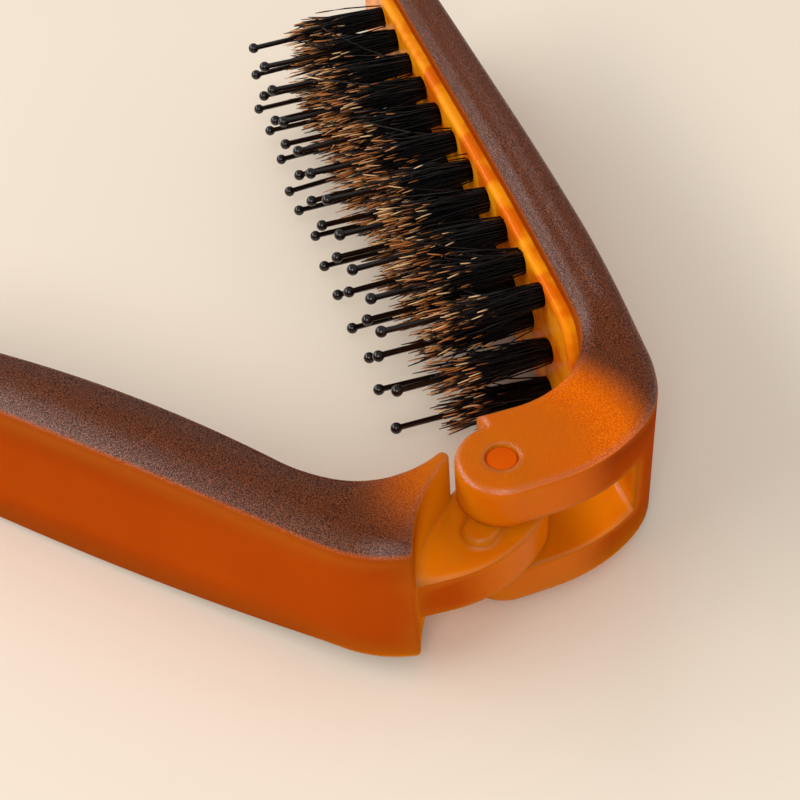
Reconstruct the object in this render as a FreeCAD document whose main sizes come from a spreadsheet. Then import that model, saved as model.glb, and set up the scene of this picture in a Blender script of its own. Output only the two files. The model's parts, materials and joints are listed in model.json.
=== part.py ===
import FreeCAD, Part
import math
import os
import Sketcher
from FreeCAD import Placement, Rotation, Vector

# Folding travel brush, in millimetres. The brush lies on its side on z = 0, with the origin under
# the middle of the grip, and the handle runs along X with its free end at -X. Every piece is drawn
# about the hinge axis, with the head folded onto the handle, and its placement then carries it to
# the hinge and turns the head open. "Reach" is the distance from the hinge axis along a limb,
# "depth" the distance across it, away from the line between the folded limbs.

SIZES = {
    # Hinge: two ears on the head, a tongue on the handle, one pin through all three.
    "hinge_width": 22.0,
    "ear_radius": 5.85,
    "slot_width": 9.15,
    "slot_floor_depth": 17.65,
    "tongue_thickness": 6.2,
    "pin_radius": 2.13,
    "pin_recess": 0.25,
    "pin_edge_chamfer": 0.3,
    "running_clearance": 0.06,
    "seat_clearance": 0.02,
    "rib_width": 4.4,
    "rib_height": 1.0,
    "rib_length": 8.5,
    "rest_open_angle": 44.16,
    # Where the origin lies on the lower side of the handle.
    "origin_reach": 85.0,
    "origin_depth": 17.6,
    # Plan shape shared by both limbs: slim at the hinge, flaring to the full width.
    "body_width": 27.0,
    "flare_start": 10.0,
    "flare_end": 62.0,
    "tip_corner_radius": 10.0,
    # Head: moulded frame with a hooked heel.
    "head_reach": 118.0,
    "head_edge_radius": 0.9,
    "head_tip_depth": 25.0,
    "back_depth": 27.5,
    "crest_reach": 36.0,
    "heel_straight_depth": 5.0,
    "heel_draft": 0.2,
    "heel_inset": 4.5,
    "heel_depth": 18.0,
    "heel_turn_reach": 10.6,
    "heel_turn_depth": 25.0,
    "knuckle_reach": 7.85,
    "knuckle_rise": 0.5,
    "knuckle_wall_depth": 4.5,
    "rim_start_reach": 21.4,
    "rim_depth": 18.0,
    # Bristle pad let into the frame.
    "rim_width": 2.0,
    "pad_gap": 0.3,
    "pad_start_reach": 17.5,
    "pad_start_radius": 7.0,
    "bed_depth": 16.4,
    "pad_thickness": 6.2,
    "pad_edge_radius": 0.9,
    # Tufts: boar bristle round one ball-ended pin, held by a flat wire anchor in a blind hole.
    "row_spacing": 7.7,
    "first_tuft_reach": 25.9,
    "last_tuft_inset": 10.15,
    "hole_radius": 1.72,
    "hole_depth": 5.4,
    "tuft_root_radius": 1.5,
    "tuft_tip_radius": 2.3,
    "tuft_length": 17.0,
    "pin_wire_radius": 0.425,
    "pin_ball_radius": 0.85,
    "pin_length": 24.0,
    "pin_bore_clearance": 0.05,
    "anchor_length": 3.1,
    "anchor_height": 1.4,
    "anchor_thickness": 0.3,
    # Handle: moulded bar with a hooked hinge end.
    "handle_reach": 118.0,
    "handle_edge_radius": 2.0,
    "handle_back_depth": 21.8,
    "handle_swell_reach": 68.0,
    "handle_shoulder_reach": 12.5,
    "handle_shoulder_depth": 21.3,
    "handle_tip_depth": 21.3,
    "hook_tip_depth": 2.7,
    "hook_tip_width": 1.6,
    "hook_curve_radius": 13.8,
    "hook_root_reach": 16.5,
    "hook_root_depth": 11.8,
    "inner_start_reach": 24.5,
    "inner_start_depth": 12.8,
    "inner_depth": 13.6,
    "inner_tip_depth": 13.3,
    "inner_edge_radius": 0.6,
    "wall_reach": 5.95,
    "wall_straight_depth": 7.0,
    "wall_foot_reach": 2.8,
    "wall_foot_depth": 17.9,
    "tongue_root_reach": 4.6,
    "tongue_root_depth": 18.4,
    "tongue_heel_inset": 5.75,
    "tongue_heel_depth": 14.05,
    # How far every cutting shape runs past what it cuts.
    "overrun": 4.0,
}

TOP_TUFT_COUNT = 11
MIDDLE_TUFT_COUNT = 12
BOTTOM_TUFT_COUNT = 12
TUFT_COUNTS = {"top": TOP_TUFT_COUNT, "middle": MIDDLE_TUFT_COUNT, "bottom": BOTTOM_TUFT_COUNT}
ROW_STEP_SHARES = {"top": 1.0, "middle": 0.0, "bottom": -1.0}
ROW_START_PITCH_SHARES = {"top": 0.45, "middle": 0.0, "bottom": 0.0}
FLARE_KNEE_SHARE = 0.15
PAD_START_FLARE_SHARE = 0.39
BALL_NECK_SHARE = 0.866
HOOK_TIP_ROUND_SHARE = 0.515
TOUCH = 1e-3

doc = FreeCAD.newDocument("folding_travel_brush")
sheet = doc.addObject("Spreadsheet::Sheet", "Sizes")
for line, (alias, number) in enumerate(SIZES.items(), start=1):
    sheet.set(f"A{line}", alias)
    sheet.set(f"B{line}", str(number))
    sheet.setAlias(f"B{line}", alias)
doc.recompute()


class Length:
    """A number of millimetres, with the sheet expression that gives it."""

    def __init__(self, value, text):
        self.value = value
        self.text = text

    def __add__(self, other):
        return Length(self.value + other.value, f"({self.text} + {other.text})")

    def __sub__(self, other):
        return Length(self.value - other.value, f"({self.text} - {other.text})")

    def __mul__(self, share):
        return Length(self.value * share, f"({self.text} * ({share}))")

    def __truediv__(self, parts):
        return Length(self.value / parts, f"({self.text} / {parts})")

    def __neg__(self):
        return Length(-self.value, f"(-1 * {self.text})")


def size(alias):
    return Length(float(sheet.get(alias)), f"Sizes.{alias}")


ZERO = Length(0.0, "0")
MID_HEIGHT = size("body_width") / 2
HALF_HINGE = size("hinge_width") / 2
BED = size("bed_depth")
PAD_FLOOR = BED + size("pad_thickness")
HOLE_FLOOR = BED + size("hole_depth")
TUFT_SEAT = HOLE_FLOOR - size("anchor_height")
TUFT_RUN = size("head_reach") - size("last_tuft_inset") - size("first_tuft_reach")
TUFT_PITCH = TUFT_RUN / (MIDDLE_TUFT_COUNT - 1)


def bind(item, path, length):
    item.setExpression(path, length.text)


def bind_base(item, x, y, z, holder="Placement"):
    """Tie the three coordinates of a placement to the sheet."""
    for axis, length in zip("xyz", (x, y, z)):
        bind(item, f".{holder}.Base.{axis}", length)


def set_on_handle(item):
    """Carry a piece that is drawn about the hinge axis to the hinge."""
    bind_base(item, size("origin_reach"), size("origin_depth"), MID_HEIGHT)


def set_on_head(item):
    """Carry a piece to the hinge and turn it open with the head."""
    item.Placement = Placement(Vector(), Rotation(Vector(0, 0, -1), sheet.get("rest_open_angle")))
    bind(item, ".Placement.Rotation.Angle", size("rest_open_angle"))
    set_on_handle(item)


def new_body(label, place):
    body = doc.addObject("PartDesign::Body", label)
    body.Label = label
    place(body)
    return body


def new_sketch(body, name, plane, x=ZERO, y=ZERO, z=ZERO):
    """An empty sketch on one of the body's own origin planes, shifted within the body."""
    sketch = body.newObject("Sketcher::SketchObject", name)
    support = next(item for item in body.Origin.OriginFeatures if item.Role == plane)
    sketch.AttachmentSupport = [(support, "")]
    sketch.MapMode = "FlatFace"
    bind_base(sketch, x, y, z, "AttachmentOffset")
    doc.recompute()
    return sketch


def place_point(sketch, piece, end, x, y):
    """Hold one end of a drawn piece at a place that the sheet gives."""
    for kind, length in (("DistanceX", x), ("DistanceY", y)):
        index = sketch.addConstraint(Sketcher.Constraint(kind, -1, 1, piece, end, length.value))
        bind(sketch, f"Constraints[{index}]", length)


def turned(direction, angle):
    return Vector(direction.x * math.cos(angle) - direction.y * math.sin(angle),
                  direction.x * math.sin(angle) + direction.y * math.cos(angle), 0)


def signed_angle(a, b):
    return math.atan2(a.x * b.y - a.y * b.x, a.x * b.x + a.y * b.y)


def draw_outline(sketch, start, steps):
    """Draw a closed outline, anticlockwise. A step is ("line", x, y), ("arc", x, y, radius) for
    an arc that bulges outwards, ("hollow", x, y, radius) for one that bulges inwards,
    ("smooth", x, y) for an arc that goes on in the direction of the step before it, or
    ("easing", x, y) for one that comes out in the direction of the line after it."""
    here = Vector(start[0].value, start[1].value, 0)
    heading = None
    first = None
    previous = None
    for number, (kind, x, y, *radius) in enumerate(steps):
        there = Vector(x.value, y.value, 0)
        run = there - here
        if kind == "line":
            piece = sketch.addGeometry(Part.LineSegment(here, there), False)
            ends = (1, 2)
            heading = run
        else:
            if kind == "smooth":
                half_turn = signed_angle(heading, run)
            elif kind == "easing":
                after = steps[number + 1]
                half_turn = signed_angle(run, Vector(after[1].value, after[2].value, 0) - there)
            else:
                half_turn = math.asin(run.Length / 2 / radius[0].value)
                half_turn = half_turn if kind == "arc" else -half_turn
            middle_run = turned(run, -half_turn / 2) / (2 * math.cos(half_turn / 2))
            middle = here + middle_run
            ends = (1, 2) if half_turn > 0 else (2, 1)
            points = (here, middle, there) if half_turn > 0 else (there, middle, here)
            piece = sketch.addGeometry(Part.Arc(*points), False)
            heading = turned(run, half_turn)
        if radius:
            index = sketch.addConstraint(Sketcher.Constraint("Radius", piece, radius[0].value))
            bind(sketch, f"Constraints[{index}]", radius[0])
        if previous:
            tangent = kind == "smooth" or steps[number - 1][0] == "easing"
            joint = "Tangent" if tangent else "Coincident"
            sketch.addConstraint(Sketcher.Constraint(joint, *previous, piece, ends[0]))
        first = first or (piece, ends[0])
        previous = (piece, ends[1])
        place_point(sketch, piece, ends[1], x, y)
        here = there
    sketch.addConstraint(Sketcher.Constraint("Coincident", *previous, *first))


def draw_circle(sketch, x, y, radius):
    middle = Vector(x.value, y.value, 0)
    piece = sketch.addGeometry(Part.Circle(middle, Vector(0, 0, 1), radius.value), False)
    place_point(sketch, piece, 3, x, y)
    index = sketch.addConstraint(Sketcher.Constraint("Radius", piece, radius.value))
    bind(sketch, f"Constraints[{index}]", radius)


def draw_box(sketch, x_low, y_low, x_high, y_high):
    draw_outline(sketch, (x_low, y_low), [("line", x_high, y_low), ("line", x_high, y_high),
                                          ("line", x_low, y_high), ("line", x_low, y_low)])


def pad(body, name, sketch, length, symmetric=False):
    """Add a sketch to the body as a solid of the given length."""
    before = 0.0 if body.Shape.isNull() else body.Shape.Volume
    feature = body.newObject("PartDesign::Pad", name)
    feature.Profile = sketch
    feature.SideType = "Symmetric" if symmetric else "One side"
    bind(feature, "Length", length)
    doc.recompute()
    if not body.Shape.Volume > before:
        raise ValueError(f"{name} adds nothing")
    return feature


def pocket(body, name, sketch, length=None, symmetric=False, flipped=False):
    """Cut a sketch out of the body, right through where no length is given."""
    before = body.Shape.Volume
    feature = body.newObject("PartDesign::Pocket", name)
    feature.Profile = sketch
    feature.SideType = "Symmetric" if symmetric else "One side"
    feature.Reversed = flipped
    if length is None:
        feature.Type = "ThroughAll"
    else:
        bind(feature, "Length", length)
    doc.recompute()
    if not body.Shape.Volume < before:
        raise ValueError(f"{name} cuts nothing")
    return feature


def repeat_along_limb(body, name, feature, sketch, count):
    """Repeat a feature at the tuft pitch, away from the hinge."""
    pattern = body.newObject("PartDesign::LinearPattern", name)
    pattern.Originals = [feature]
    pattern.Direction = (sketch, ["H_Axis"])
    pattern.Reversed = True
    pattern.Occurrences = count
    bind(pattern, "Length", TUFT_PITCH * (count - 1))
    body.Tip = pattern
    doc.recompute()
    return pattern


def round_edges(body, name, radius, wanted):
    """Round the edges for which wanted(edge, faces beside it) is true."""
    base = body.Tip
    shape = base.Shape
    names = []
    for number, edge in enumerate(shape.Edges, start=1):
        if wanted(edge, shape.ancestorsOfType(edge, Part.Face)):
            names.append(f"Edge{number}")
    if not names:
        raise ValueError(f"{name} finds no edge")
    feature = body.newObject("PartDesign::Fillet", name)
    feature.Base = (base, names)
    bind(feature, "Radius", radius)
    doc.recompute()
    return feature


def faces_sideways(face):
    """True for a face that looks out along Z, as the two broad sides of each limb do."""
    u_low, u_high, v_low, v_high = face.ParameterRange
    normal = face.normalAt((u_low + u_high) / 2, (v_low + v_high) / 2)
    return abs(normal.z) > math.cos(math.radians(45))


def on_side_outline(edge, faces):
    return sum(faces_sideways(face) for face in faces) == 1


def plan_outline(sketch, reach, inset, corner, near_end):
    """Plan of a limb, slim at the hinge and flaring to its full width, with rounded far corners."""
    wide = MID_HEIGHT - inset
    slim = HALF_HINGE - inset
    start = size("flare_start")
    end = size("flare_end")
    knee = start + (end - start) * FLARE_KNEE_SHARE
    knee_width = slim + (wide - slim) * FLARE_KNEE_SHARE
    draw_outline(sketch, (-near_end, slim), [
        ("line", -start, slim),
        ("smooth", -knee, knee_width),
        ("smooth", -end, wide),
        ("line", corner - reach, wide),
        ("smooth", -reach, wide - corner),
        ("line", -reach, corner - wide),
        ("smooth", corner - reach, -wide),
        ("line", -end, -wide),
        ("smooth", -knee, -knee_width),
        ("smooth", -start, -slim),
        ("line", -near_end, -slim),
        ("line", -near_end, slim),
    ])


def trim_to_plan(body, name, reach):
    """Cut away what lies outside the plan of the limb."""
    beyond = size("overrun")
    sketch = new_sketch(body, f"{name}_plan", "XZ_Plane")
    near_end = -(size("ear_radius") + beyond)
    plan_outline(sketch, reach, ZERO, size("tip_corner_radius"), near_end)
    draw_box(sketch, -(reach + beyond), -(MID_HEIGHT + beyond), beyond - near_end, MID_HEIGHT + beyond)
    pocket(body, f"{name}_plan_cut", sketch, symmetric=True)


def make_head_frame():
    body = new_body("head_frame", set_on_head)
    ear = size("ear_radius")
    reach = size("head_reach")
    rim = size("rim_depth")
    knuckle = size("knuckle_reach")
    side = new_sketch(body, "head_side", "XY_Plane")
    draw_outline(side, (-ear, ZERO), [
        ("arc", ZERO, -ear, ear),
        ("arc", ear, ZERO, ear),
        ("line", ear - size("heel_draft"), size("heel_straight_depth")),
        ("smooth", ear - size("heel_inset"), size("heel_depth")),
        ("smooth", -size("heel_turn_reach"), size("heel_turn_depth")),
        ("smooth", -size("crest_reach"), size("back_depth")),
        ("smooth", -reach, size("head_tip_depth")),
        ("line", -reach, rim),
        ("line", -size("rim_start_reach"), rim),
        ("easing", -knuckle, size("knuckle_wall_depth")),
        ("line", -knuckle, -size("knuckle_rise")),
        ("line", -ear, ZERO),
    ])
    pad(body, "head_blank", side, size("body_width"), symmetric=True)
    trim_to_plan(body, "head", reach)
    round_edges(body, "head_edges", size("head_edge_radius"), on_side_outline)

    slot = new_sketch(body, "slot_side", "XY_Plane")
    past_ear = ear + size("overrun")
    draw_box(slot, -size("pad_start_reach"), -past_ear, past_ear, size("slot_floor_depth"))
    pocket(body, "slot", slot, size("slot_width"), symmetric=True)

    recess = new_sketch(body, "recess_plan", "XZ_Plane", z=-PAD_FLOOR)
    draw_pad_plan(recess, size("rim_width"))
    pocket(body, "pad_recess", recess, flipped=True)

    bore = new_sketch(body, "ear_bore", "XY_Plane")
    draw_circle(bore, ZERO, ZERO, size("pin_radius") + size("seat_clearance"))
    pocket(body, "ear_bores", bore, symmetric=True)
    return body


def draw_pad_plan(sketch, inset):
    """Plan of the bristle pad, which keeps one distance from the sides and the tip of the head."""
    wide = MID_HEIGHT - inset
    slim = HALF_HINGE - inset
    near_width = slim + (wide - slim) * PAD_START_FLARE_SHARE
    near = size("pad_start_reach") + inset - size("rim_width")
    near_corner = size("pad_start_radius")
    end = size("flare_end")
    reach = size("head_reach") - inset
    corner = size("tip_corner_radius") - inset
    draw_outline(sketch, (-near, near_width - near_corner), [
        ("arc", -near - near_corner, near_width, near_corner),
        ("easing", -end, wide),
        ("line", corner - reach, wide),
        ("smooth", -reach, wide - corner),
        ("line", -reach, corner - wide),
        ("smooth", corner - reach, -wide),
        ("line", -end, -wide),
        ("smooth", -near - near_corner, -near_width),
        ("arc", -near, near_corner - near_width, near_corner),
        ("line", -near, near_width - near_corner),
    ])


def row_place(row):
    """First reach and height of a row of tufts, the height from the middle of the brush."""
    reach = size("first_tuft_reach") + TUFT_PITCH * ROW_START_PITCH_SHARES[row]
    return reach, size("row_spacing") * ROW_STEP_SHARES[row]


def make_bristle_pad():
    body = new_body("bristle_pad", set_on_head)
    plan = new_sketch(body, "pad_plan", "XZ_Plane", z=-PAD_FLOOR)
    draw_pad_plan(plan, size("rim_width") + size("pad_gap"))
    pad(body, "pad_blank", plan, size("pad_thickness"))
    round_edges(body, "pad_edges", size("pad_edge_radius"),
                lambda edge, faces: edge.BoundBox.YMax < (BED + size("overrun") / 2).value)
    for row, count in TUFT_COUNTS.items():
        reach, height = row_place(row)
        hole = new_sketch(body, f"hole_{row}", "XZ_Plane", x=-reach, y=height, z=-BED)
        draw_circle(hole, ZERO, ZERO, size("hole_radius"))
        first = pocket(body, f"holes_{row}_first", hole, size("hole_depth"))
        repeat_along_limb(body, f"holes_{row}", first, hole, count)
    return body


def make_hinge_pin():
    body = new_body("hinge_pin", set_on_head)
    section = new_sketch(body, "pin_section", "XY_Plane")
    draw_circle(section, ZERO, ZERO, size("pin_radius"))
    pad(body, "pin_rod", section, size("hinge_width") - size("pin_recess") * 2, symmetric=True)
    rod = body.Tip
    rims = [number for number, edge in enumerate(rod.Shape.Edges, start=1) if edge.isClosed()]
    ends = body.newObject("PartDesign::Chamfer", "pin_ends")
    ends.Base = (rod, [f"Edge{number}" for number in rims])
    bind(ends, "Size", size("pin_edge_chamfer"))
    doc.recompute()
    return body


def is_wall(face):
    """True for a face across the hinge end of the handle, which stops the heel of the head."""
    return not faces_sideways(face) and face.BoundBox.XMin > -size("wall_reach").value - TOUCH


def beside_wall(edge, faces):
    return any(is_wall(face) for face in faces)


def on_handle_back(edge, faces):
    lowest = -size("wall_foot_depth").value + TOUCH
    return on_side_outline(edge, faces) and edge.BoundBox.YMax < lowest


def on_handle_inside(edge, faces):
    middle = -(size("inner_depth") + size("wall_foot_depth")).value / 2
    return on_side_outline(edge, faces) and edge.BoundBox.YMin > middle


def make_handle():
    body = new_body("handle", set_on_handle)
    ear = size("ear_radius")
    reach = size("handle_reach")
    swell = size("handle_swell_reach")
    wall = size("wall_reach")
    tip_width = size("hook_tip_width")
    hook_tip = (-(wall + tip_width), -size("hook_tip_depth"))
    root = size("hook_root_reach")
    side = new_sketch(body, "handle_side", "XY_Plane")
    draw_outline(side, hook_tip, [
        ("hollow", -root, -size("hook_root_depth"), size("hook_curve_radius")),
        ("smooth", -size("inner_start_reach"), -size("inner_start_depth")),
        ("smooth", -swell, -size("inner_depth")),
        ("smooth", -reach, -size("inner_tip_depth")),
        ("line", -reach, -size("handle_tip_depth")),
        ("line", -swell, -size("handle_back_depth")),
        ("smooth", -size("handle_shoulder_reach"), -size("handle_shoulder_depth")),
        ("smooth", -size("wall_foot_reach"), -size("wall_foot_depth")),
        ("easing", -wall, -size("wall_straight_depth")),
        ("line", -wall, -size("hook_tip_depth")),
        ("arc", *hook_tip, tip_width * HOOK_TIP_ROUND_SHARE),
    ])
    pad(body, "handle_blank", side, size("body_width"), symmetric=True)
    trim_to_plan(body, "handle", reach)
    round_edges(body, "back_edges", size("handle_edge_radius"), on_handle_back)
    round_edges(body, "inner_edges", size("inner_edge_radius"),
                lambda edge, faces: on_handle_inside(edge, faces) or beside_wall(edge, faces))

    tongue = new_sketch(body, "tongue_side", "XY_Plane")
    bar_middle = (-root, -(size("hook_root_depth") + size("handle_shoulder_depth")) / 2)
    draw_outline(tongue, bar_middle, [
        ("line", -size("tongue_root_reach"), -size("tongue_root_depth")),
        ("line", ear - size("tongue_heel_inset"), -size("tongue_heel_depth")),
        ("smooth", ear, ZERO),
        ("arc", ZERO, ear, ear),
        ("arc", -ear, ZERO, ear),
        ("line", -(wall + tip_width / 2), -size("wall_straight_depth")),
        ("line", *bar_middle),
    ])
    pad(body, "tongue", tongue, size("tongue_thickness"), symmetric=True)

    half_rib = size("rib_width") / 2
    rib_end = half_rib - size("rib_length")
    rib = new_sketch(body, "rib_side", "XY_Plane")
    draw_outline(rib, (-half_rib, rib_end), [
        ("arc", ZERO, -size("rib_length"), half_rib),
        ("arc", half_rib, rib_end, half_rib),
        ("line", half_rib, ZERO),
        ("line", -half_rib, ZERO),
        ("line", -half_rib, rib_end),
    ])
    pad(body, "ribs", rib, size("tongue_thickness") + size("rib_height") * 2, symmetric=True)

    bore = new_sketch(body, "tongue_bore", "XY_Plane")
    draw_circle(bore, ZERO, ZERO, size("pin_radius") + size("running_clearance"))
    pocket(body, "tongue_bores", bore, symmetric=True)
    return body


def make_tuft(row, number):
    """A flared bundle of bristle with a bore for its ball pin, standing on its anchor."""
    label = f"tuft_{row}_{number + 1:02d}"
    reach, height = row_place(row)
    reach = reach + TUFT_PITCH * number
    rise = TUFT_SEAT - BED + size("tuft_length")
    beyond = size("overrun")
    bundle = doc.addObject("Part::Cone", f"{label}_bundle")
    bind(bundle, "Radius1", size("tuft_root_radius"))
    bind(bundle, "Radius2", size("tuft_tip_radius"))
    bind(bundle, "Height", rise)
    core = doc.addObject("Part::Cylinder", f"{label}_core")
    bind(core, "Radius", size("pin_wire_radius") + size("pin_bore_clearance"))
    bind(core, "Height", rise + beyond * 2)
    for item, seat in ((bundle, TUFT_SEAT), (core, TUFT_SEAT + beyond)):
        item.Placement = Placement(Vector(), Rotation(Vector(1, 0, 0), 90))
        bind_base(item, -reach, seat, height)
    tuft = doc.addObject("Part::Cut", label)
    tuft.Label = label
    tuft.Base = bundle
    tuft.Tool = core
    set_on_head(tuft)
    return tuft


def make_ball_pins(row, count):
    """One row of pins: a straight wire from the anchor to a ball above the bristle."""
    body = new_body(f"ball_pins_{row}", set_on_head)
    reach, height = row_place(row)
    wire = size("pin_wire_radius")
    ball = size("pin_ball_radius")
    tip = BED - TUFT_SEAT - size("pin_length")
    section = new_sketch(body, f"ball_pin_{row}_section", "XY_Plane", x=-reach, y=TUFT_SEAT, z=height)
    draw_outline(section, (ZERO, tip), [
        ("arc", wire, tip + ball * (1 + BALL_NECK_SHARE), ball),
        ("line", wire, ZERO),
        ("line", ZERO, ZERO),
        ("line", ZERO, tip),
    ])
    first = body.newObject("PartDesign::Revolution", f"ball_pin_{row}_first")
    first.Profile = section
    first.ReferenceAxis = (section, ["V_Axis"])
    first.Angle = 360
    doc.recompute()
    repeat_along_limb(body, f"ball_pin_{row}_run", first, section, count)
    return body


def make_anchors(row, count):
    """One row of flat wire anchors, on edge across the bottoms of the tuft holes."""
    body = new_body(f"tuft_anchors_{row}", set_on_head)
    reach, height = row_place(row)
    half = size("anchor_length") / 2
    face = new_sketch(body, f"anchor_{row}_face", "XY_Plane", x=-reach, y=HOLE_FLOOR, z=height)
    draw_box(face, -half, -size("anchor_height"), half, ZERO)
    first = pad(body, f"anchor_{row}_first", face, size("anchor_thickness"), symmetric=True)
    repeat_along_limb(body, f"anchor_{row}_run", first, face, count)
    return body


PARTS = [make_handle(), make_head_frame(), make_bristle_pad(), make_hinge_pin()]
for row, count in TUFT_COUNTS.items():
    PARTS += [make_tuft(row, number) for number in range(count)]
    PARTS += [make_ball_pins(row, count), make_anchors(row, count)]

doc.recompute()
for item in doc.Objects:
    if "Invalid" in item.State or "Error" in item.State:
        raise ValueError(f"{item.Label} did not build")
for part in PARTS:
    if part.Shape.isNull() or not part.Shape.isValid():
        raise ValueError(f"{part.Label} has no valid shape")

os.makedirs("parts", exist_ok=True)
for part in PARTS:
    part.Shape.exportStep(f"parts/{part.Label}.step")
    print(part.Label, len(part.Shape.Solids), round(part.Shape.Volume, 1))
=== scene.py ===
import json
import math
import random

import bpy
from mathutils import Matrix, Vector


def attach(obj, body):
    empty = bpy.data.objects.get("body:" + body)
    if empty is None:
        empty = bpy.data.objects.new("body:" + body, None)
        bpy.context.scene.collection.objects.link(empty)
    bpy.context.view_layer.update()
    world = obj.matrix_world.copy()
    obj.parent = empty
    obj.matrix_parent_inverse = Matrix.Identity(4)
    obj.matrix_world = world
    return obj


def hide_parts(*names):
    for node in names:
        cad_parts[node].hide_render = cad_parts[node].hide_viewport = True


# Folding travel brush of amber plastic: looks, in metres, round the CAD frame. The tufts and the
# ball pins are redrawn one by one, and the head's shell is the CAD solid with a flatter back. Every
# other piece is the CAD solid with a material of its own.

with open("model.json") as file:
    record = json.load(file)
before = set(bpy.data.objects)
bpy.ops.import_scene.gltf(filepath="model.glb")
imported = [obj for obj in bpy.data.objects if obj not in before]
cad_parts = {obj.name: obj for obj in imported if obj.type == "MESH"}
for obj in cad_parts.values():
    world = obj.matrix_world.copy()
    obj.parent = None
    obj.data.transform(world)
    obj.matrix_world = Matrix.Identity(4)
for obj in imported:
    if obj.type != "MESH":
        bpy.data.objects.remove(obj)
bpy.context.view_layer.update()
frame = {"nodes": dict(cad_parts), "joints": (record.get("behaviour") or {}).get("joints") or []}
nodes = frame["nodes"]
random.seed(11)

MM = 0.001
HEAD = "head"
ROWS = ("top", "middle", "bottom")
FOLD = frame["joints"][0]
HINGE = Vector(FOLD["pos_m"])
FOLDED_TURN = math.radians(FOLD["range_deg"][0])

# Directions at rest: the way the tufts stand, the hinge axis, and the way across both.
ALONG = Matrix.Rotation(FOLDED_TURN, 3, "Z") @ Vector((0.0, -1.0, 0.0))
UP = Vector((0.0, 0.0, 1.0))
BESIDE = ALONG.cross(UP)
OUTWARD = BESIDE if BESIDE.x < 0 else -BESIDE

# Camera, from the view of the photograph.
CAMERA_PLACE = (0.14357, -0.10015, 0.17133)
CAMERA_RIGHT = (0.87903, 0.47348, -0.05573)
CAMERA_UP = (-0.3073, 0.65209, 0.69307)
CAMERA_FORWARD = (-0.3645, 0.5921, -0.71872)
CAMERA_LENS = 72.17
CAMERA_SENSOR = 36.0
CAMERA_NEAR = 5 * MM

# Back of the head: how far it lies inside the CAD solid at the heel, the crest and the tip, and in
# the middle of its length besides, with the reach of each from the hinge, in metres.
HEEL_START = -1 * MM
HEEL_REACH = 8.7 * MM
HEEL_DROP = 0.7 * MM
CREST_REACH = 36 * MM
CREST_DROP = 2.15 * MM
TIP_REACH = 118 * MM
TIP_DROP = 0.9 * MM
BOW_DROP = 2.75 * MM
SLOT_REACH = 17.5 * MM
SLOT_FLOOR = 17.7 * MM
PAD_FLOOR = 22.65 * MM
ROUND_EDGE = 1.0 * MM

# Amber plastic: the stretches over which its look changes, by reach from the hinge or by height
# from the middle plane of the brush, in metres.
# Painted light and shade among them: a glow near the hinge and in hollows, shade on the bars' sides,
# light on the edges.
OUTER_HEIGHTS = (9.0 * MM, 10.4 * MM)
BAR_PAINTED_SHADE_HEIGHTS = (4 * MM, 12 * MM)
PAINTED_GLOW_REACHES = (7 * MM, 14.5 * MM)
LEVEL_PAINTED_GLOW_REACH = 6 * MM
HOLLOW_PAINTED_GLOW_REACHES = (18 * MM, 30 * MM)
HOLLOW_WIDTH = 12 * MM
SPARKLE_REACHES = (7 * MM, 13 * MM)
CLEAR_REACHES = (7 * MM, 15 * MM)
EDGE_REACHES = (10 * MM, 30 * MM)
HINGE_EDGE = 1.5 * MM
HEAD_EDGE = 5 * MM
HANDLE_EDGE = 11 * MM
HEAD_FROST_REACHES = (15 * MM, 22 * MM)
HANDLE_FROST_REACHES = (5 * MM, 20 * MM)
HEAD_CLEARNESS = 0.5
HANDLE_CLEARNESS = 0.4
EDGE_PAINTED_LIGHT_SHARE = 0.25

# Amber plastic: the grain of its frosted sides, its gloss, and the light lost on the way through.
GRAIN_SCALE = 6400
GRAIN_STRENGTH = 0.6
GRAIN_DEPTH = 0.12 * MM
GRAIN_LEVELS = (0.36, 0.64)
GRAIN_COAT = (0.5, 1.0)
FROST_COAT = (0.03, 0.4)
OUTER_ROUGHNESS = (0.22, 0.4)
CLOUD_SCALE = 60
LIGHT_LOSS = (0.949, 0.773, 0.054, 1.0)
LIGHT_LOSS_DENSITY = 60.0

# Amber plastic: from where to where a face counts as level, a corner as hollow, an edge as rounded off
# and a direction as leaning.
LEVEL_FACING = (0.25, 0.7)
HOLLOW_SHADE = (0.3, 0.85)
EDGE_LIKENESS = (0.9, 0.995)
LEAN_FACING = (0.86, 0.99)
MASK_SAMPLES = 6

# Bristle and ball pins: sizes in millimetres, and shares of a length or a radius.
HAIRS_PER_TUFT = 170
HAIR_RADIUS = 0.11
HAIR_SIDES = 4
HAIR_RING_SHARES = (0.0, 0.35, 0.65, 0.86, 0.94, 1.0)
HAIR_TAPER_SHARES = (1.0, 1.0, 1.0, 0.95, 0.9, 0.5)
ROOT_FILL_SHARE = 0.95
FLARE_SHARE = 0.45
HAIR_LENGTH_SHARES = (0.5, 1.04, 0.86)
HAIR_RADIUS_SHARES = (0.8, 1.2)
HAIR_LEAN = 0.6
HAIR_LEAN_POWER = 1.6
HAIR_BEND = 0.35
STRAY_SHARE = 0.04
STRAY_LEAN = 3.0
PIN_WIRE = 0.425
PIN_BALL = 0.85
PIN_LEAN = 0.55
PIN_SHORTENING = 1.2
PIN_SIDES = 14
BALL_TURNS = 9
BALL_END_TURN = 0.05

# Sockets for colours on Blender's mix node.
MIX_FIRST = 6
MIX_SECOND = 7
MIX_RESULT = 2

# Points of a CAD solid this near to its end belong to that end.
END_REACH = 0.05 * MM

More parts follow.
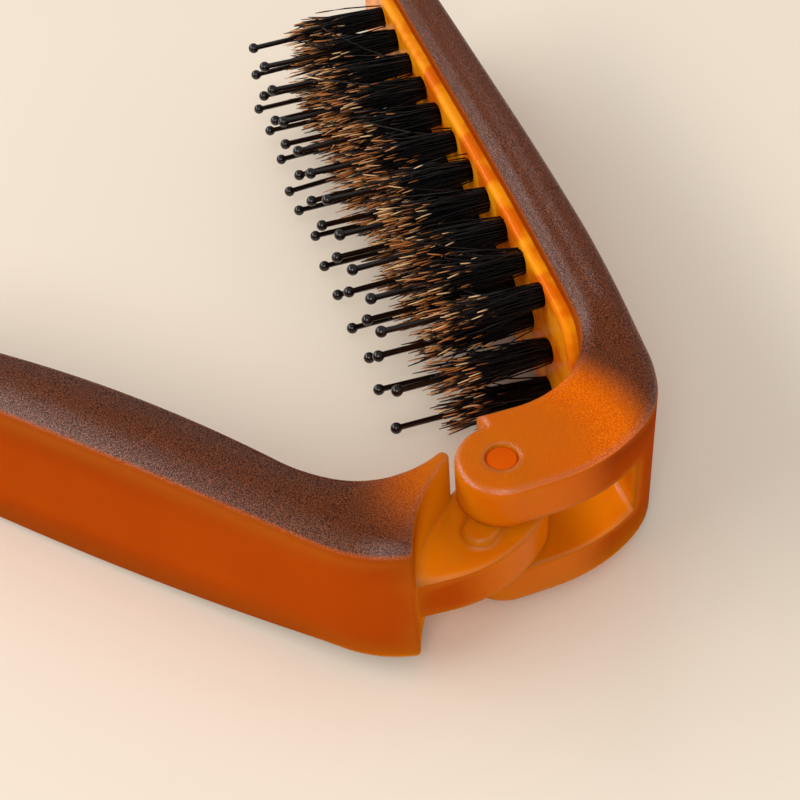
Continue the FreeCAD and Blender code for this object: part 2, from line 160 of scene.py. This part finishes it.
# Studio: a long strip lamp on the left, a square one by the camera and a plain pale floor.
WORLD_STRENGTH = 0.48
WORLD_COLOUR = (1.0, 0.98, 0.96, 1.0)
LAMP_AIM = (0.03, 0.04, 0.0)
KEY_PLACE = (-1.0, -0.45, 0.82)
KEY_SIZE = (2.1, 0.35)
KEY_POWER = 13.7
KEY_COLOUR = (1.0, 0.97, 0.94)
FILL_PLACE = (0.5, -0.85, 0.98)
FILL_SIZE = (0.7, 0.7)
FILL_POWER = 6.1
FILL_COLOUR = (1.0, 0.98, 0.96)
FLOOR_HALF = 2.0


def srgb(red, green, blue):
    """Linear colour for an 8-bit sRGB colour."""
    parts = []
    for part in (red, green, blue):
        share = part / 255
        parts.append(share / 12.92 if share <= 0.04045 else ((share + 0.055) / 1.055) ** 2.4)
    return (*parts, 1.0)


class Shader:
    """A node material with a Principled shader, and short ways to add nodes to it."""

    def __init__(self, name):
        self.material = bpy.data.materials.new(name)
        self.material.use_nodes = True
        self.tree = self.material.node_tree
        self.surface = self.tree.nodes["Principled BSDF"]
        self.output = self.tree.nodes["Material Output"]
        self.place = self.add("ShaderNodeTexCoord")

    def add(self, kind, **settings):
        node = self.tree.nodes.new(kind)
        for key, value in settings.items():
            setattr(node, key, value)
        return node

    def link(self, source, target):
        self.tree.links.new(source, target)

    def set(self, **values):
        for name, value in values.items():
            self.surface.inputs[name.replace("_", " ")].default_value = value

    def noise(self, scale, detail=2.0):
        node = self.add("ShaderNodeTexNoise")
        node.inputs["Scale"].default_value = scale
        node.inputs["Detail"].default_value = detail
        self.link(self.place.outputs["Object"], node.inputs["Vector"])
        return node.outputs["Fac"]

    def spread(self, value, low, high, to_low=0.0, to_high=1.0):
        """A smooth change from one number to another while a value goes from low to high."""
        node = self.add("ShaderNodeMapRange", interpolation_type="SMOOTHSTEP")
        self.link(value, node.inputs["Value"])
        limits = {"From Min": low, "From Max": high, "To Min": to_low, "To Max": to_high}
        for name, number in limits.items():
            node.inputs[name].default_value = number
        return node.outputs["Result"]

    def blend(self, share, first, second):
        """A colour between two, each a colour or a socket."""
        node = self.add("ShaderNodeMix", data_type="RGBA")
        self.link(share, node.inputs["Factor"])
        for end, socket in ((first, node.inputs[MIX_FIRST]), (second, node.inputs[MIX_SECOND])):
            if isinstance(end, tuple):
                socket.default_value = end
            else:
                self.link(end, socket)
        return node.outputs[MIX_RESULT]

    def number(self, operation, first, second):
        """Two numbers joined by an operation, each a number or a socket."""
        node = self.add("ShaderNodeMath", operation=operation)
        for value, socket in ((first, node.inputs[0]), (second, node.inputs[1])):
            if isinstance(value, float):
                socket.default_value = value
            else:
                self.link(value, socket)
        return node.outputs["Value"]

    def from_hinge(self):
        """Distance from the hinge axis, and distance from the middle plane of the brush."""
        shift = self.add("ShaderNodeVectorMath", operation="SUBTRACT")
        shift.inputs[1].default_value = HINGE
        self.link(self.place.outputs["Object"], shift.inputs[0])
        parts = self.add("ShaderNodeSeparateXYZ")
        self.link(shift.outputs["Vector"], parts.inputs["Vector"])
        flat = self.add("ShaderNodeVectorMath", operation="MULTIPLY")
        flat.inputs[1].default_value = (1.0, 1.0, 0.0)
        self.link(shift.outputs["Vector"], flat.inputs[0])
        reach = self.add("ShaderNodeVectorMath", operation="LENGTH")
        self.link(flat.outputs["Vector"], reach.inputs[0])
        return reach.outputs["Value"], self.number("ABSOLUTE", parts.outputs["Z"], 0.0)

    def level_faces(self):
        """1 on faces that look along the hinge axis, fading round their edges."""
        parts = self.add("ShaderNodeSeparateXYZ")
        self.link(self.place.outputs["Normal"], parts.inputs["Vector"])
        return self.spread(self.number("ABSOLUTE", parts.outputs["Z"], 0.0), *LEVEL_FACING)

    def hollows(self, distance):
        """1 deep in slots and corners, where a painted glow stands for light coming through the
        plastic, and 0 in the open.
        """
        shade = self.add("ShaderNodeAmbientOcclusion", samples=MASK_SAMPLES)
        shade.inputs["Distance"].default_value = distance
        return self.spread(shade.outputs["AO"], *HOLLOW_SHADE, 1.0, 0.0)

    def rounded(self, radius):
        """Surface directions with the edges rounded off, 1 on those edges, and 1 where the
        directions lean away from the hinge axis."""
        soft = self.add("ShaderNodeBevel", samples=MASK_SAMPLES)
        self.link(radius, soft.inputs["Radius"])
        plain = self.add("ShaderNodeNewGeometry")
        likeness = self.add("ShaderNodeVectorMath", operation="DOT_PRODUCT")
        self.link(soft.outputs["Normal"], likeness.inputs[0])
        self.link(plain.outputs["Normal"], likeness.inputs[1])
        edge = self.spread(likeness.outputs["Value"], *EDGE_LIKENESS, 1.0, 0.0)
        local = self.add("ShaderNodeVectorTransform", vector_type="NORMAL")
        local.convert_from = "WORLD"
        local.convert_to = "OBJECT"
        self.link(soft.outputs["Normal"], local.inputs["Vector"])
        parts = self.add("ShaderNodeSeparateXYZ")
        self.link(local.outputs["Vector"], parts.inputs["Vector"])
        upright = self.number("ABSOLUTE", parts.outputs["Z"], 0.0)
        tilt = self.spread(upright, *LEAN_FACING, 1.0, 0.0)
        return soft.outputs["Normal"], edge, tilt

    def bump(self, height, strength, distance, directions):
        """Relief on the rounded directions, under a coat that follows those directions alone."""
        node = self.add("ShaderNodeBump")
        node.inputs["Strength"].default_value = strength
        node.inputs["Distance"].default_value = distance
        self.link(height, node.inputs["Height"])
        self.link(directions, node.inputs["Normal"])
        self.link(node.outputs["Normal"], self.surface.inputs["Normal"])
        self.link(directions, self.surface.inputs["Coat Normal"])

    def absorb(self, colour, density):
        node = self.add("ShaderNodeVolumeAbsorption")
        node.inputs["Color"].default_value = colour
        node.inputs["Density"].default_value = density
        self.link(node.outputs["Volume"], self.output.inputs["Volume"])


def amber_plastic(name, frost_reaches, clearness, edge_radius):
    """Amber plastic: clear orange at the hinge, lit up there by a painted glow, with frosted brown
    outer sides further out; painted shade darkens the bars towards their sides, and painted light
    brightens the hollows by the hinge and the edges.
    """
    shader = Shader(name)
    reach, height = shader.from_hinge()
    level = shader.level_faces()
    outer = shader.number("MULTIPLY", level, shader.spread(height, *OUTER_HEIGHTS))
    frost = shader.number("MULTIPLY", outer, shader.spread(reach, *frost_reaches))
    edge_radii = shader.spread(reach, *EDGE_REACHES, HINGE_EDGE, edge_radius)
    directions, edge, tilt = shader.rounded(edge_radii)
    grain = shader.spread(shader.noise(GRAIN_SCALE, detail=0.0), *GRAIN_LEVELS)
    clouds = shader.noise(CLOUD_SCALE, detail=3.0)
    bar = shader.blend(clouds, srgb(166, 61, 1), srgb(182, 73, 2))
    # Painted shade: the bars turn darker towards their sides, away from the middle plane, where less
    # light comes through.
    bar = shader.blend(shader.spread(height, *BAR_PAINTED_SHADE_HEIGHTS), bar, srgb(144, 50, 2))
    # Painted glow: brighter orange near the hinge, reaching further out on level faces, standing for
    # light that comes through the thin plastic.
    painted_glow = shader.blend(clouds, srgb(255, 118, 3), srgb(255, 140, 8))
    lit_reach = shader.number("SUBTRACT", reach, shader.number("MULTIPLY", level, LEVEL_PAINTED_GLOW_REACH))
    body = shader.blend(shader.spread(lit_reach, *PAINTED_GLOW_REACHES), painted_glow, bar)
    # Painted glow: slots and corners near the hinge turn bright yellow-orange, for light that comes
    # through the plastic.
    by_hinge = shader.spread(reach, *HOLLOW_PAINTED_GLOW_REACHES, 1.0, 0.0)
    hollow_painted_glow = shader.number("MULTIPLY", shader.hollows(HOLLOW_WIDTH), by_hinge)
    body = shader.blend(hollow_painted_glow, body, srgb(255, 158, 10))
    # Painted light: the rounded edges turn a lighter orange, for light collecting at the edges.
    body = shader.blend(shader.number("MULTIPLY", edge, EDGE_PAINTED_LIGHT_SHARE), body, srgb(255, 150, 40))
    speckle = shader.blend(grain, srgb(222, 90, 4), srgb(252, 128, 12))
    sparkle = shader.number("MULTIPLY", outer, shader.spread(reach, *SPARKLE_REACHES))
    coat = shader.blend(grain, srgb(66, 25, 3), srgb(122, 56, 12))
    colour = shader.blend(frost, shader.blend(sparkle, body, speckle), coat)
    shader.link(colour, shader.surface.inputs["Base Color"])
    shader.link(shader.spread(outer, 0.0, 1.0, *OUTER_ROUGHNESS), shader.surface.inputs["Roughness"])
    edge_gloss = shader.number("MULTIPLY", tilt, level)
    glossy = shader.number("MAXIMUM", shader.spread(frost, 0.0, 1.0, *FROST_COAT), edge_gloss)
    glitter = shader.number("MULTIPLY", glossy, shader.spread(grain, 0.0, 1.0, *GRAIN_COAT))
    shader.link(glitter, shader.surface.inputs["Coat Weight"])
    near = shader.spread(reach, *CLEAR_REACHES, clearness, 0.0)
    clear = shader.number("MULTIPLY", near, shader.spread(frost, 0.0, 1.0, 1.0, 0.0))
    shader.link(clear, shader.surface.inputs["Transmission Weight"])
    relief = shader.number("MULTIPLY", grain, outer)
    shader.bump(relief, GRAIN_STRENGTH, GRAIN_DEPTH, directions)
    shader.set(IOR=1.5, Specular_IOR_Level=0.0, Specular_Tint=srgb(255, 150, 40))
    shader.set(Coat_Roughness=0.25, Coat_IOR=1.8)
    shader.set(Subsurface_Weight=0.2, Subsurface_Radius=(1.0, 0.5, 0.1), Subsurface_Scale=5 * MM)
    shader.absorb(LIGHT_LOSS, LIGHT_LOSS_DENSITY)
    return shader.material


def pin_plastic():
    """Amber of the hinge pin, a little deeper than the ears round it."""
    shader = Shader("pin_plastic")
    clouds = shader.noise(240)
    colour = shader.blend(clouds, srgb(200, 74, 2), srgb(224, 92, 4))
    shader.link(colour, shader.surface.inputs["Base Color"])
    shader.link(shader.spread(clouds, 0.3, 0.7, 0.2, 0.3), shader.surface.inputs["Roughness"])
    shader.set(IOR=1.5, Specular_IOR_Level=0.1, Specular_Tint=srgb(255, 150, 40))
    return shader.material


def pad_plastic():
    """Bright yellow amber with darker orange clouds."""
    shader = Shader("pad_plastic")
    clouds = shader.noise(190)
    colour = shader.blend(shader.spread(clouds, 0.4, 0.62), srgb(230, 106, 4), srgb(255, 156, 16))
    shader.link(colour, shader.surface.inputs["Base Color"])
    shader.link(shader.spread(clouds, 0.3, 0.7, 0.16, 0.26), shader.surface.inputs["Roughness"])
    shader.set(IOR=1.5, Specular_IOR_Level=0.3, Specular_Tint=srgb(255, 180, 70))
    return shader.material


def bristle_hair():
    """Black bristle whose ends turn brown or tan, by the share of length and the tone stored on
    each point."""
    shader = Shader("bristle_hair")
    along = shader.add("ShaderNodeAttribute", attribute_name="along")
    parts = shader.add("ShaderNodeSeparateColor")
    shader.link(along.outputs["Color"], parts.inputs["Color"])
    tone = parts.outputs["Green"]
    brown = shader.blend(shader.spread(tone, 0.3, 0.75), srgb(30, 15, 9), srgb(200, 122, 56))
    tan = shader.blend(shader.spread(tone, 0.75, 1.0), brown, srgb(254, 216, 160))
    tip = shader.spread(parts.outputs["Red"], 0.87, 0.93)
    shader.link(shader.blend(tip, srgb(9, 7, 6), tan), shader.surface.inputs["Base Color"])
    shader.set(Roughness=0.18, IOR=1.5, Specular_IOR_Level=0.25)
    return shader.material


def ball_pin_nylon():
    """Glossy black nylon."""
    shader = Shader("ball_pin_nylon")
    streaks = shader.noise(900)
    colour = shader.blend(streaks, srgb(9, 8, 8), srgb(22, 18, 17))
    shader.link(colour, shader.surface.inputs["Base Color"])
    shader.link(shader.spread(streaks, 0.3, 0.7, 0.12, 0.2), shader.surface.inputs["Roughness"])
    shader.set(IOR=1.5)
    return shader.material


def anchor_wire():
    """Grey drawn wire."""
    shader = Shader("anchor_wire")
    drawn = shader.noise(1500)
    colour = shader.blend(drawn, srgb(150, 148, 142), srgb(196, 194, 188))
    shader.link(colour, shader.surface.inputs["Base Color"])
    shader.set(Metallic=1.0, Roughness=0.4)
    return shader.material


def dress(item, material):
    item.data.materials.clear()
    item.data.materials.append(material)


def node_axis(node, along):
    """The two ends of the middle line of a CAD solid that lies along a direction."""
    points = [vertex.co.copy() for vertex in nodes[node].data.vertices]
    places = [point.dot(along) for point in points]
    ends = []
    for limit in (min(places), max(places)):
        ring = [point for point, place in zip(points, places) if abs(place - limit) < END_REACH]
        ends.append(sum(ring, Vector()) / len(ring))
    return ends


def ring_radius(node, end):
    """The radius of a round CAD solid at one end of its middle line."""
    spots = [vertex.co - end for vertex in nodes[node].data.vertices]
    return max(spot.length for spot in spots if abs(spot.dot(ALONG)) < END_REACH)


def make_mesh(name, points, faces, shares=None):
    """A smooth mesh object, with a colour of length share and tone on each point where given."""
    mesh = bpy.data.meshes.new(name)
    mesh.from_pydata(points, [], faces)
    if shares:
        layer = mesh.color_attributes.new("along", "FLOAT_COLOR", "POINT")
        layer.data.foreach_set("color", [part for share in shares for part in share])
    mesh.polygons.foreach_set("use_smooth", [True] * len(mesh.polygons))
    mesh.update()
    item = bpy.data.objects.new(name, mesh)
    bpy.context.scene.collection.objects.link(item)
    return item


class Tubes:
    """Points and faces of many thin tubes in one mesh, and for hairs their length shares and tones."""

    def __init__(self):
        self.points = []
        self.faces = []
        self.shares = []

    def tube(self, path, radii, sides):
        start = len(self.points)
        for number, (place, radius) in enumerate(zip(path, radii)):
            ahead = path[min(number + 1, len(path) - 1)] - path[max(number - 1, 0)]
            across = ahead.orthogonal().normalized()
            other = ahead.cross(across).normalized()
            for side in range(sides):
                turn = 2 * math.pi * side / sides
                self.points.append(place + radius * (math.cos(turn) * across + math.sin(turn) * other))
        for ring in range(len(path) - 1):
            for side in range(sides):
                a = start + ring * sides + side
                b = start + ring * sides + (side + 1) % sides
                self.faces.append((a, b, b + sides, a + sides))
        self.faces.append(tuple(range(start, start + sides))[::-1])
        last = start + (len(path) - 1) * sides
        self.faces.append(tuple(range(last, last + sides)))


def aside(turn):
    """The direction at an angle round a tuft."""
    return BESIDE * math.cos(turn) + UP * math.sin(turn)


def astray(spread):
    """A random shift across a tuft, in metres."""
    return BESIDE * random.gauss(0, spread * MM) + UP * random.gauss(0, spread * MM)


def draw_tuft(hairs, root, tip, root_radius):
    """Hairs packed tight at the root, flaring and bending apart, each with a tone of its own."""
    run = tip - root
    for _ in range(HAIRS_PER_TUFT):
        out = aside(random.uniform(0, 2 * math.pi)) * math.sqrt(random.random()) * root_radius
        length = random.triangular(*HAIR_LENGTH_SHARES)
        stray = random.random() < STRAY_SHARE
        lean = out * FLARE_SHARE + astray(STRAY_LEAN if stray else HAIR_LEAN)
        bend = astray(HAIR_BEND)
        tone = random.random()
        path = []
        for share in HAIR_RING_SHARES:
            shift = lean * share ** HAIR_LEAN_POWER + bend * math.sin(math.pi * share)
            path.append(root + out + run * (share * length) + shift)
        radius = HAIR_RADIUS * MM * random.uniform(*HAIR_RADIUS_SHARES)
        radii = [radius * share for share in HAIR_TAPER_SHARES]
        hairs.tube(path, radii, HAIR_SIDES)
        for share in HAIR_RING_SHARES:
            hairs.shares.extend([(share, tone, 0.0, 1.0)] * HAIR_SIDES)


def draw_pin(pins, root, tip):
    """One ball-ended pin: a straight wire, leaning a little, and a ball drawn as turned rings."""
    tip = tip - ALONG * random.uniform(0, PIN_SHORTENING) * MM + astray(PIN_LEAN)
    ahead = (tip - root).normalized()
    wire = PIN_WIRE * MM
    ball = PIN_BALL * MM
    middle = tip - ahead * ball
    first_turn = math.pi - math.asin(wire / ball)
    path = [root]
    radii = [wire]
    for step in range(BALL_TURNS + 1):
        turn = first_turn + (BALL_END_TURN - first_turn) * step / BALL_TURNS
        path.append(middle + ahead * ball * math.cos(turn))
        radii.append(ball * math.sin(turn))
    pins.tube(path, radii, PIN_SIDES)


def make_row(row):
    """The hairs and the ball pins of one row of tufts, each a mesh that stands for its CAD nodes."""
    names = sorted(name for name in nodes if name.startswith(f"tuft_{row}_"))
    pin_node = f"ball_pins_{row}"
    pin_end = max(vertex.co.dot(ALONG) for vertex in nodes[pin_node].data.vertices)
    hairs = Tubes()
    pins = Tubes()
    for name in names:
        root, tip = node_axis(name, ALONG)
        draw_tuft(hairs, root, tip, ring_radius(name, root) * ROOT_FILL_SHARE)
        draw_pin(pins, root, root + ALONG * (pin_end - root.dot(ALONG)))
    bristles = make_mesh(f"bristles_{row}", hairs.points, hairs.faces, hairs.shares)
    balls = make_mesh(f"balls_{row}", pins.points, pins.faces)
    for item, material, slot in ((bristles, HAIR, "bristle"), (balls, NYLON, "ball_pin_nylon")):
        dress(item, material)
        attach(item, HEAD)
    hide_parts(*names)
    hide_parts(pin_node)


def back_drop(reach):
    """How far the back of the head lies inside the CAD solid, at a reach from the hinge."""
    if reach < HEEL_REACH:
        share = max((reach - HEEL_START) / (HEEL_REACH - HEEL_START), 0.0)
        return HEEL_DROP * share * share * (3 - 2 * share)
    if reach < CREST_REACH:
        share = (reach - HEEL_REACH) / (CREST_REACH - HEEL_REACH)
        return HEEL_DROP + (CREST_DROP - HEEL_DROP) * share * share
    share = (reach - CREST_REACH) / (TIP_REACH - CREST_REACH)
    return CREST_DROP + (TIP_DROP - CREST_DROP) * share + 4 * BOW_DROP * share * (1 - share)


def back_outline(spots):
    """The outer edge of a cloud of (reach, depth) spots, bulging outwards, in order of reach."""
    edge = []
    for spot in sorted(spots):
        while len(edge) > 1 and (
            (edge[-1][0] - edge[-2][0]) * (spot[1] - edge[-2][1])
            >= (edge[-1][1] - edge[-2][1]) * (spot[0] - edge[-2][0])
        ):
            edge.pop()
        edge.append(spot)
    return edge


def depth_at(edge, reach):
    """The depth of an outline at a reach."""
    for (near, near_depth), (far, far_depth) in zip(edge, edge[1:]):
        if reach <= far:
            share = (reach - near) / (far - near) if far > near else 1.0
            return near_depth + (far_depth - near_depth) * share
    return edge[-1][1]


def make_head_shell():
    """The head's frame with its back flattened; its rounded edges keep their form."""
    shell = bpy.data.objects.new("head_shell", nodes["head_frame"].data.copy())
    bpy.context.scene.collection.objects.link(shell)
    spots = []
    for vertex in shell.data.vertices:
        arm = vertex.co - HINGE
        spots.append((arm.dot(OUTWARD), -arm.dot(ALONG)))
    edge = back_outline(spots)
    for vertex, (reach, depth) in zip(shell.data.vertices, spots):
        drop = back_drop(reach)
        fixed = SLOT_FLOOR if reach < SLOT_REACH else PAD_FLOOR
        round_start = depth_at(edge, reach) - ROUND_EDGE
        if depth > fixed:
            share = min((depth - fixed) / (round_start - fixed), 1.0) if round_start > fixed else 1.0
            vertex.co += ALONG * drop * share
    dress(shell, HEAD_PLASTIC)
    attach(shell, HEAD)
    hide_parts("head_frame")


def make_floor():
    shader = Shader("pale_floor")
    shade = shader.noise(6.0)
    colour = shader.blend(shade, srgb(245, 232, 213), srgb(250, 238, 220))
    shader.link(colour, shader.surface.inputs["Base Color"])
    shader.set(Roughness=0.6)
    sides = ((-1, -1), (1, -1), (1, 1), (-1, 1))
    corners = [(x * FLOOR_HALF, y * FLOOR_HALF, 0) for x, y in sides]
    floor = make_mesh("floor", corners, [(0, 1, 2, 3)])
    floor.data.materials.append(shader.material)


def add_lamp(name, place, size, power, colour):
    data = bpy.data.lights.new(name, "AREA")
    data.shape = "RECTANGLE"
    data.size, data.size_y = size
    data.energy = power
    data.color = colour
    lamp = bpy.data.objects.new(name, data)
    lamp.location = place
    lamp.rotation_euler = (Vector(LAMP_AIM) - Vector(place)).to_track_quat("-Z", "Y").to_euler()
    bpy.context.scene.collection.objects.link(lamp)


def add_camera():
    data = bpy.data.cameras.new("photo_camera")
    data.sensor_width = CAMERA_SENSOR
    data.lens = CAMERA_LENS
    data.clip_start = CAMERA_NEAR
    camera = bpy.data.objects.new("photo_camera", data)
    axes = Matrix((CAMERA_RIGHT, CAMERA_UP, -Vector(CAMERA_FORWARD))).transposed()
    camera.matrix_world = Matrix.Translation(CAMERA_PLACE) @ axes.to_4x4()
    bpy.context.scene.collection.objects.link(camera)
    bpy.context.scene.camera = camera


def add_light():
    world = bpy.data.worlds.new("studio")
    world.use_nodes = True
    background = world.node_tree.nodes["Background"]
    background.inputs["Color"].default_value = WORLD_COLOUR
    background.inputs["Strength"].default_value = WORLD_STRENGTH
    bpy.context.scene.world = world
    add_lamp("key", KEY_PLACE, KEY_SIZE, KEY_POWER, KEY_COLOUR)
    add_lamp("fill", FILL_PLACE, FILL_SIZE, FILL_POWER, FILL_COLOUR)


HAIR = bristle_hair()
NYLON = ball_pin_nylon()
WIRE = anchor_wire()
HEAD_PLASTIC = amber_plastic("head_plastic", HEAD_FROST_REACHES, HEAD_CLEARNESS, HEAD_EDGE)
HANDLE_PLASTIC = amber_plastic("handle_plastic", HANDLE_FROST_REACHES, HANDLE_CLEARNESS, HANDLE_EDGE)
make_head_shell()
dress(nodes["hinge_pin"], pin_plastic())
dress(nodes["handle"], HANDLE_PLASTIC)
dress(nodes["bristle_pad"], pad_plastic())
for row in ROWS:
    dress(nodes[f"tuft_anchors_{row}"], WIRE)
    make_row(row)
make_floor()
add_camera()
add_light()
bpy.context.scene.view_settings.view_transform = "Standard"
